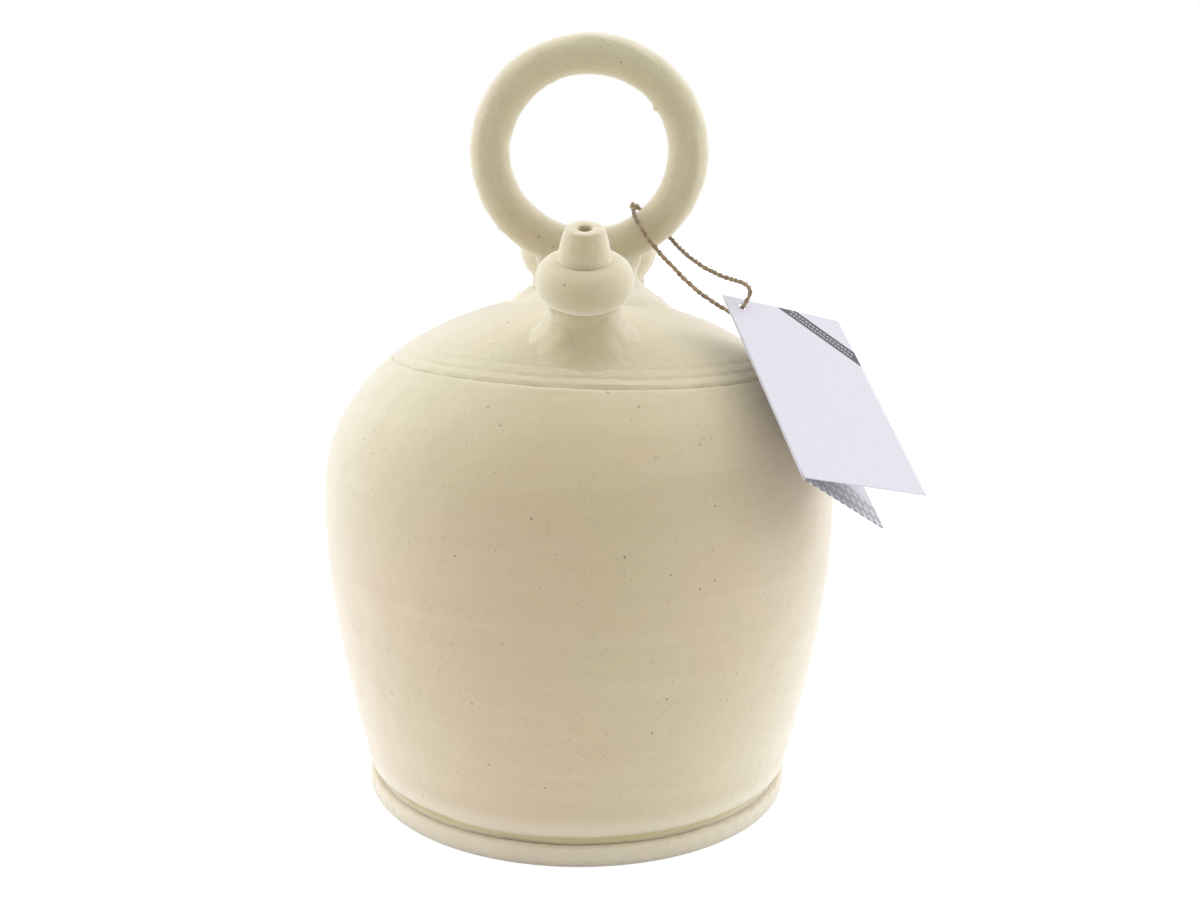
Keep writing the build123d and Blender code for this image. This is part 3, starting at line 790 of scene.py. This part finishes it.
class BotijoBody(bpy.types.Operator):
    """Throws the body: the foot, the wall and the shoulder"""

    bl_idname = "botijo.body"
    bl_label = "Throw Body"

    def execute(self, context):
        values = context.scene.jug_clay
        sides, height = values.sides, values.unevenness / MM
        finish = clay_finish("clay_body", groove=True)

        def relief(rows):
            return hand_made(rows, 21, height) + 0.07 * uneven(rows, 4, 31) - shoulder_lines(rows)

        # Foot
        profile = [(r, 0.0) for r in (20.0, 50.0, 72.0, FOOT_RADIUS - HEEL_RADIUS)]
        profile += list(arc(profile[-1], (FOOT_RADIUS, HEEL_RADIUS), (1, 0), 7))[1:]
        profile += [(FOOT_RADIUS, z) for z in (4.0, 5.0, 6.0)]
        edge = (FOOT_RADIUS, FOOT_HEIGHT - FOOT_EDGE)
        profile += list(arc(edge, (FOOT_RADIUS - FOOT_EDGE, FOOT_HEIGHT), (0, 1), 7))
        profile += [(r, FOOT_HEIGHT) for r in (81.0, 76.0, 50.0, 20.0)]
        radius, along = np.array(profile).T
        rows = turned_rows(UPRIGHT, radius, along, sides)
        push = hand_made(rows, 71, height) + 0.12 * uneven(rows, 5, 76)
        crumbled = smooth(along, 6.0, 7.6)[:, None] * smooth(rows[..., 0], 0, 50)
        push += crumbled * (0.22 * uneven(rows, 2.6, 77) + 0.16 * uneven(rows, 6, 78))
        push *= (smooth(along, 0.4, 3.0) * (radius > GROOVE_RADIUS + 0.5))[:, None]
        # Painted light: the foot's clay is made paler all over
        fired("foot", "foot_disc", clay_finish("clay_foot", streaks=1.2, painted_lift=0.5, groove=True), rows, push,
              ((0, 0, 0), (0, 0, FOOT_HEIGHT)))

        # Wall, from the groove over its rounded edge to the seam, and down inside
        nose = [(GROOVE_RADIUS, FOOT_HEIGHT)]
        nose += list(clamped_spline([(GROOVE_RADIUS, FOOT_HEIGHT + GROOVE_GAP)] + WALL_NOSE,
                                    (0, 1), (0.15, 1), 6))
        radius, along = np.array(nose).T
        outer = np.concatenate([np.linspace(15.6, 26, 8), np.linspace(27.8, 166.6, 84),
                                np.linspace(167.6, SEAM_HEIGHT, 19)])
        inner = np.linspace(SEAM_HEIGHT, 14, 26)
        bottom = wall_radius(inner[-1], WALL)
        rows = np.concatenate([turned_rows(UPRIGHT, radius, along, sides), wall_rows(outer, sides),
                               wall_rows(inner, sides, WALL),
                               turned_rows(UPRIGHT, [bottom], [FOOT_HEIGHT], sides)])
        outside = len(nose) + len(outer)
        push = relief(rows[:outside])
        push[:2] = 0
        rows[:outside] = pushed(rows[:outside], push)
        wall = skin("wall", rows)
        dress(wall, finish, "jug", "clay", "body_wall")

        # Shoulder, from its inner crown out to the seam and back up over the lines
        reach = np.linspace(3.0, float(wall_radius(181.0, WALL)), 14)
        inner_line = OUTLINE - WALL * OUTWARD
        inner = np.interp(-reach, -inner_line[:, 0], inner_line[:, 1])
        inner = np.concatenate([inner, [177.0, SEAM_HEIGHT]])
        reach = np.linspace(float(wall_radius(180.6)), 1.8, 34)
        outer = np.concatenate([np.linspace(SEAM_HEIGHT, 180.4, 37),
                                np.interp(-reach, -OUTLINE[:, 0], OUTLINE[:, 1])])
        rows = np.concatenate([wall_rows(inner, sides, WALL), wall_rows(outer, sides)])
        outside = len(inner)
        rows[outside:] = pushed(rows[outside:], relief(rows[outside:]))
        cap = skin("shoulder", rows, ((0, 0, CROWN_HEIGHT - WALL), (0, 0, CROWN_HEIGHT)))
        cutters = []
        for axis, bore in ((SPOUT_AXIS, NECK_BORE), (MOUTH_AXIS, MOUTH_BORE)):
            rows = turned_rows(axis, [bore, bore], [-24, 12], 64)
            ends = [np.array(axis @ Vector((0, 0, t))) for t in (-24, 12)]
            cutters.append(skin("bore", rows, ends))
        drilled(cap, cutters)
        dress(cap, finish, "jug", "clay", "shoulder_cap")
        return {"FINISHED"}


class BotijoRing(bpy.types.Operator):
    """Rolls the ring handle and presses the pad of clay under it"""

    bl_idname = "botijo.ring"
    bl_label = "Roll Ring Handle"

    def execute(self, context):
        height = context.scene.jug_clay.unevenness / MM
        # Painted light: the ring's clay is made a little paler all over
        finish = clay_finish("clay_ring", streaks=1.25, painted_lift=0.12, ring=True)
        stations, corners = 264, 44
        turn = np.arange(stations)[:, None] * 2 * pi / stations
        section = np.arange(corners)[None, :] * 2 * pi / corners
        zero = turn * 0 + section * 0
        line = RING_CENTRE + np.stack([RING_HALF_WIDTH * np.cos(turn), turn * 0,
                                       RING_HALF_HEIGHT * np.sin(turn)], -1)
        out = np.stack([np.cos(turn) / RING_HALF_WIDTH, turn * 0, np.sin(turn) / RING_HALF_HEIGHT], -1)
        out /= np.linalg.norm(out, axis=-1, keepdims=True)
        way = out * np.cos(section)[..., None] + np.array((0, -1, 0)) * np.sin(section)[..., None]
        points = line + way * RING_TUBE
        swell = 0.9 * height * uneven(points, 34, 61) + 0.45 * height * uneven(points, 11, 62)
        swell += 0.25 * height * uneven(points, 4.5, 63)

        def angle_gap(value, middle):
            return (value - middle + pi) % (2 * pi) - pi

        for start, end, first, last, rise in RING_RIDGES:
            middle, half = radians((start + end) / 2), radians((end - start) / 2)
            share = np.clip(angle_gap(turn, middle) / half, -1, 1)
            at = radians((first + last) / 2) + share * radians((last - first) / 2)
            fade = 1 - smooth(np.abs(angle_gap(turn, middle)), half * 0.8, half * 1.15)
            off = angle_gap(section, at) * RING_TUBE
            swell += fade * rise * np.where(off > 0, np.exp(-(off / 0.55) ** 2), np.exp(-(off / 1.9) ** 2))
        for ring_at, side_at, rise, along, across in RING_BURRS:
            far = (angle_gap(turn, radians(ring_at)) * RING_HALF_WIDTH / along) ** 2 \
                + (angle_gap(section, radians(side_at)) * RING_TUBE / across) ** 2
            swell += rise * np.exp(-far)
        near_twine = np.exp(-(angle_gap(turn + zero, radians(-50)) / 0.42) ** 2)
        swell = np.where(swell > 0, swell * (1 - 0.8 * near_twine), swell)
        ring = skin("ring", line + way * (RING_TUBE + swell)[..., None])
        dress(ring, finish, "jug", "clay", "ring_handle")

        toe = RING_CENTRE[0] + PAD_SHARES[0][1] * PAD_HALF_WIDTH
        fall = CROWN_HEIGHT - np.interp(-toe, -OUTLINE[:, 0], OUTLINE[:, 1])
        stations = [(share * (PAD_RISE if share > 0 else fall), width * PAD_HALF_WIDTH, depth * PAD_HALF_DEPTH)
                    for share, width, depth in PAD_SHARES]
        widths = clamped_spline([(level, width) for level, width, _ in stations], (1, -1.4), (1, 0.3), 6)
        depths = clamped_spline([(level, depth) for level, _, depth in stations], (1, -1.4), (1, -0.4), 6)
        sides = 88
        turn = np.arange(sides) * 2 * pi / sides
        level = widths[:, 0]
        depth = np.interp(level, depths[:, 0], depths[:, 1])
        rows = np.stack([
            RING_CENTRE[0] + widths[:, 1:2] * np.cos(turn), depth[:, None] * np.sin(turn),
            np.broadcast_to((CROWN_HEIGHT + level)[:, None], (len(level), sides))], -1)
        ends = [(RING_CENTRE[0], 0, CROWN_HEIGHT + end) for end in (level[0], level[-1])]
        # Painted light: the pad's clay is made paler all over
        fired("pad", "handle_pad", clay_finish("clay_pad", streaks=0.5, painted_lift=0.7), rows,
              0.42 * uneven(rows, 13, 81) + 0.24 * uneven(rows, 5.5, 82, (1, 1, 0.7)), ends)
        return {"FINISHED"}


def rounded_rim(side, below, inwards, count):
    """The side's points up to its rim, and an arc over the rim from this far below it to this far inwards."""
    rim, way = side[-1], (side[-1] - side[-2]) / np.hypot(*(side[-1] - side[-2]))
    start = rim - way * below
    side = [point for point in side if point[1] < start[1] - 0.2]
    return np.concatenate([side, arc(start, rim - (inwards, 0), way, count)])


def luted(name, node, axis, radius, reach, rise, toe, sides, seed):
    """Clay smeared from a neck down onto the shoulder, in mm."""
    turn = np.arange(sides) * 2 * pi / sides
    circle = np.stack([np.cos(turn), np.sin(turn), turn * 0], -1) * radius
    top = rise * (1 + 0.07 * uneven(circle, 14, seed))
    spread = reach * (1 + 0.10 * uneven(circle, 18, seed + 1))
    share = arc((0, 1), (1, 0), (0, -1), 16)
    drop = np.maximum(toe - wall_below(axis, radius + reach, sides) + 0.7, 0)
    radii = [radius + spread * s for s, _ in share]
    heights = [toe + (top - toe) * t - drop * s**2 for s, t in share]
    under = wall_below(axis, radius, sides)
    radii = [radius - 1.3 + 0 * turn, radius - 0.5 + 0 * turn] + radii
    heights = [top - 2.5, top - 0.1] + heights
    radii += [radius + reach * 0.5 + 0 * turn, radius - 1.3 + 0 * turn]
    below = wall_below(axis, radius + reach * 0.5, sides)
    heights += [np.minimum(below - 2.6, heights[-1] - 0.5), under - 2.6]
    rows = turned_rows(axis, radii[::-1], heights[::-1], sides)
    smear = 0.24 * uneven(rows, 9, seed + 2) + 0.07 * uneven(rows, 3.6, seed + 3)
    fade = np.ones(len(rows))
    fade[:2] = fade[-2:] = 0
    fired(name, node, clay_finish("clay_" + name, streaks=0.5), rows, smear * fade[:, None])


def smeared(rows, seed, height, seams=()):
    """Hand-made unevenness, rougher where two lengths were joined. Seams are row numbers."""
    push = hand_made(rows, seed, height * 0.8)
    number = np.arange(len(rows))[:, None]
    for seam in seams:
        near = np.exp(-((number - seam) / 2.2) ** 2)
        push = push + near * (0.10 * uneven(rows, 7.0, seed + 8) + 0.03 * uneven(rows, 2.2, seed + 9))
    return push


class BotijoMouth(bpy.types.Operator):
    """Throws the filling mouth and smears the clay round its foot"""

    bl_idname = "botijo.mouth"
    bl_label = "Throw Filling Mouth"

    def execute(self, context):
        height = context.scene.jug_clay.unevenness / MM
        finish = clay_finish("clay_mouth", turn=radians(-MOUTH_LEAN))
        sides = 168
        ground = wall_below(MOUTH_AXIS, MOUTH_NECK, sides) - 2.5
        inner_ground = wall_below(MOUTH_AXIS, MOUTH_BORE, sides) - 2.5
        flare = bowed((MOUTH_NECK, MOUTH_NECK_TOP), (MOUTH_RIM, MOUTH_HEIGHT), -1.5, 16)
        flare = rounded_rim(flare, MOUTH_EDGE * 0.75, MOUTH_EDGE * 0.95, 7)
        throat = bowed((MOUTH_THROAT - 0.8, MOUTH_HEIGHT - 0.4), (MOUTH_BORE, MOUTH_BORE_TOP), -1.2, 12)
        lip_top = [(MOUTH_THROAT + 0.7, MOUTH_HEIGHT - 0.05)]
        profile = np.concatenate([flare, lip_top, throat])
        radii = [MOUTH_NECK] * 7 + list(profile[:, 0]) + [MOUTH_BORE] * 4
        rise = np.linspace(0, 1, 7, endpoint=False)
        heights = [ground + (MOUTH_NECK_TOP - ground) * share for share in rise] + list(profile[:, 1])
        heights += [MOUTH_BORE_TOP + (inner_ground - MOUTH_BORE_TOP) * share for share in (0.3, 0.6, 0.8, 1.0)]
        rows = turned_rows(MOUTH_AXIS, radii, heights, sides)
        push = smeared(rows, 91, height, (8,))
        push[:1] = 0
        push[-4:] *= 0.3
        fired("mouth", "filler_mouth", finish, rows, push)
        luted("mouth_smear", "mouth_lute", MOUTH_AXIS, MOUTH_NECK, *MOUTH_LUTE, -6.0, sides, 101)
        return {"FINISHED"}


class BotijoSpout(bpy.types.Operator):
    """Throws the drinking spout: neck, bulb, nozzle and the clay smeared round its foot"""

    bl_idname = "botijo.spout"
    bl_label = "Throw Drinking Spout"

    def execute(self, context):
        height = context.scene.jug_clay.unevenness / MM
        finish = clay_finish("clay_spout", turn=radians(-SPOUT_LEAN), streaks=1.1, pits=0.6)
        sides = 132

        ground = wall_below(SPOUT_AXIS, NECK_RADIUS, sides) - 2.5
        inner_ground = wall_below(SPOUT_AXIS, NECK_BORE, sides) - 2.5
        top = NECK_LENGTH + 0.7
        share = np.linspace(0, 1, 15)
        radii = [NECK_RADIUS] * 14 + [NECK_RADIUS - 0.6] + [NECK_BORE + 0.4] + [NECK_BORE + 0.05] * 5
        heights = [ground + (top - ground) * s for s in share] + [top]
        heights += [top + (inner_ground - top) * s for s in (0.15, 0.4, 0.6, 0.8, 1.0)]
        rows = turned_rows(SPOUT_AXIS, radii, heights, sides)
        push = smeared(rows, 111, height, (13,))
        push[:1] = push[15:] = 0
        fired("neck", "spout_neck", finish, rows, push)

        widest = (BULB_RADIUS, BULB_WIDEST)
        lower = arc(widest, (BULB_FOOT, NECK_LENGTH), (0, -1), 12)[::-1]
        upper = arc(widest, (BULB_HEAD, BULB_TOP), (0, 1), 12)[1:]
        inner_widest = (BULB_RADIUS - 5.0, BULB_WIDEST)
        inside = list(bowed((NOZZLE_INLET, BULB_TOP - 5.0), inner_widest, 5 / 3, 6))
        inside += list(bowed(inner_widest, (NECK_BORE, NECK_LENGTH), 1.0, 6))[1:]
        profile = np.concatenate([lower, upper, [(BULB_HEAD - 1.5, BULB_TOP), (NOZZLE_INLET, BULB_TOP)],
                                  inside])
        rows = turned_rows(SPOUT_AXIS, profile[:, 0], profile[:, 1], sides)
        push = smeared(rows, 121, height, (1,))
        push[len(lower) + len(upper):] = 0
        fired("bulb", "spout_bulb", finish, rows, push)

        side = bowed((NOZZLE_FOOT, BULB_TOP), (NOZZLE_RIM, NOZZLE_TOP), -0.35, 14)
        profile = np.concatenate([
            [(NOZZLE_FOOT - 0.6, BULB_TOP - 0.7)],
            rounded_rim(side, NOZZLE_EDGE * 0.8, NOZZLE_EDGE * 0.85, 6),
            [(4.3, NOZZLE_TOP), (3.2, NOZZLE_TOP - 0.05), (NOZZLE_HOLE + 0.2, NOZZLE_TOP - 0.3),
             (NOZZLE_HOLE, NOZZLE_TOP - 1.0), (NOZZLE_HOLE, NOZZLE_HOLE_FOOT),
             (NOZZLE_INLET, BULB_TOP - 0.7)]])
        rows = turned_rows(SPOUT_AXIS, profile[:, 0], profile[:, 1], sides)
        push = hand_made(rows, 131, height * 0.7) + 0.06 * uneven(rows, 2.5, 136)
        push[:1] = push[-3:] = 0
        fired("nozzle", "spout_nozzle", finish, rows, push)

        luted("spout_smear", "spout_lute", SPOUT_AXIS, NECK_RADIUS, *SPOUT_LUTE, -3.0, sides, 141)
        return {"FINISHED"}


class BotijoCard(bpy.types.Operator):
    """Gives the card its print and its fold"""

    bl_idname = "botijo.card"
    bl_label = "Finish Card"

    def execute(self, context):
        for node, name, ink in (("card_front", "card_outside", band_ink),
                                ("card_back", "card_inside", lattice_ink)):
            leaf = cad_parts[node]
            finish = card_finish(name, ink)
            if leaf.material_slots:
                for slot in leaf.material_slots:
                    slot.material = finish
            else:
                leaf.data.materials.append(finish)

        # The paper bend round the fold, a little worn from level to level
        up, front, inwards = -np.array(CARD_DOWN), np.array(CARD_FRONT), -np.array(CARD_ACROSS)
        angles = np.linspace(0, pi + CARD_OPENING, 15)
        section = [(FOLD_OUTER, angle) for angle in angles] + [(FOLD_INNER, angle) for angle in angles[::-1]]
        chance = np.random.RandomState(5)
        rows = []
        for level in np.linspace(-CARD_FOOT, CARD_TOP, 30):
            wear = chance.uniform(-0.03, 0.03)
            rows.append([np.array(CARD_FOLD) + up * level
                         + (radius + wear) * (front * cos(angle) + inwards * sin(angle))
                         for radius, angle in section])
        count, sides = len(rows), len(section)
        faces = grid(count, sides)
        for start in (0, (count - 1) * sides):
            faces += [(start + j, start + j + 1, start + sides - 2 - j, start + sides - 1 - j)
                      for j in range(sides // 2 - 1)]
        fold = piece("card_fold", np.array(rows).reshape(-1, 3), faces)
        dress(fold, card_finish("card_fold_paper"), "card", "card")
        return {"FINISHED"}


class BotijoStage(bpy.types.Operator):
    """Sets the white floor and the soft light"""

    bl_idname = "botijo.stage"
    bl_label = "Set Stage"

    def execute(self, context):
        values = context.scene.jug_stage
        sides, rings = 96, 12
        radii = np.linspace(0.05, 1, rings) ** 1.5 * values.floor_radius / MM
        rows = turned_rows(UPRIGHT, radii, [0.0] * rings, sides)
        faces = grid(rings, sides) + [(j, (j + 1) % sides, rings * sides) for j in range(sides)]
        floor = piece("floor", np.concatenate([rows.reshape(-1, 3), [(0, 0, 0)]]), faces)
        if floor.data.polygons[0].normal.z < 0:
            floor.data.flip_normals()
        white = Finish("floor_white", roughness=0.9)
        white.colour(white.blend(white.noise(white.place, 3.0, 2.0), (0.26, 0.26, 0.26), (0.28, 0.28, 0.28)))
        white.set(emission_color=(1, 1, 1, 1))

        # The camera sees an even white floor. Its light is dim at the jug's foot and strongest just past it.
        seen_glow, foot_share, near_extra = 0.90, 0.3, 0.28
        seen = white.node("LightPath").node.outputs["Is Camera Ray"]
        far = white.node("VectorMath", white.place, operation="LENGTH").node.outputs["Value"]
        glow = white.times(white.ramp(far, 0.084, 0.10, foot_share, 1.0), white.ramp(
            far, 0.10, 0.35, values.floor_light + near_extra, values.floor_light))
        glow = white.plus(white.times(seen, seen_glow), white.times(white.math("SUBTRACT", 1.0, seen), glow))
        white.tree.links.new(glow, white.shader.inputs["Emission Strength"])
        floor.data.materials.append(white.material)

        # A white room to the camera. Its light rises from the front to the sides, falls off straight behind,
        # and is even overhead.
        context.scene.world = bpy.data.worlds.new("soft_room")
        context.scene.world.use_nodes = True
        room = Nodes(context.scene.world.node_tree)
        room.tree.nodes.clear()
        way = room.node("SeparateXYZ", room.node("TexCoord").node.outputs["Generated"]).node
        backwards, upwards = way.outputs[1:]
        around = room.times(room.ramp(backwards, -0.9, 0.9, 0.0, values.side_light),
                            room.ramp(backwards, 0.2, 0.95, 1.0, values.back_light))
        bright = room.node("Mix", room.ramp(upwards, 0.4, 1.0), None, around, values.top_light)
        light = room.node("Background", (1, 1, 1, 1), bright)
        seen = room.node("Background", (1, 1, 1, 1), 1.0)
        both = room.node("MixShader", room.node("LightPath").node.outputs["Is Camera Ray"], light, seen)
        output = room.tree.nodes.new("ShaderNodeOutputWorld")
        room.tree.links.new(both, output.inputs["Surface"])

        view = context.scene.view_settings
        view.view_transform, view.look, view.exposure, view.gamma = "Standard", "None", 0.0, 1.0
        return {"FINISHED"}


class BotijoPanel(bpy.types.Panel):
    """Lists the steps that dress the jug."""

    bl_idname = "VIEW3D_PT_botijo"
    bl_label = "Clay Water Jug"
    bl_space_type = "VIEW_3D"
    bl_region_type = "UI"
    bl_category = "Water Jug"

    def draw(self, context):
        for step in STEPS:
            self.layout.operator(step.bl_idname)
        for group, kind in GROUPS.items():
            box = self.layout.box()
            box.label(text=kind.__doc__)
            for name in kind.__annotations__:
                box.prop(getattr(context.scene, group), name)


STEPS = (BotijoCamera, BotijoTwine, BotijoBody, BotijoRing, BotijoMouth, BotijoSpout, BotijoCard, BotijoStage)
GROUPS = {"jug_clay": JugClay, "jug_twine": JugTwine, "jug_card": JugCard, "jug_stage": JugStage}


def register():
    for kind in (*GROUPS.values(), *STEPS, BotijoPanel):
        bpy.utils.register_class(kind)
    for name, kind in GROUPS.items():
        setattr(bpy.types.Scene, name, PointerProperty(type=kind))


def unregister():
    for name in GROUPS:
        delattr(bpy.types.Scene, name)
    for kind in (BotijoPanel, *STEPS[::-1], *list(GROUPS.values())[::-1]):
        bpy.utils.unregister_class(kind)


def main():
    register()
    bpy.ops.botijo.camera()
    bpy.ops.botijo.twine()
    bpy.ops.botijo.body()
    bpy.ops.botijo.ring()
    bpy.ops.botijo.mouth()
    bpy.ops.botijo.spout()
    bpy.ops.botijo.card()
    bpy.ops.botijo.stage()


if __name__ == "__main__":
    main()
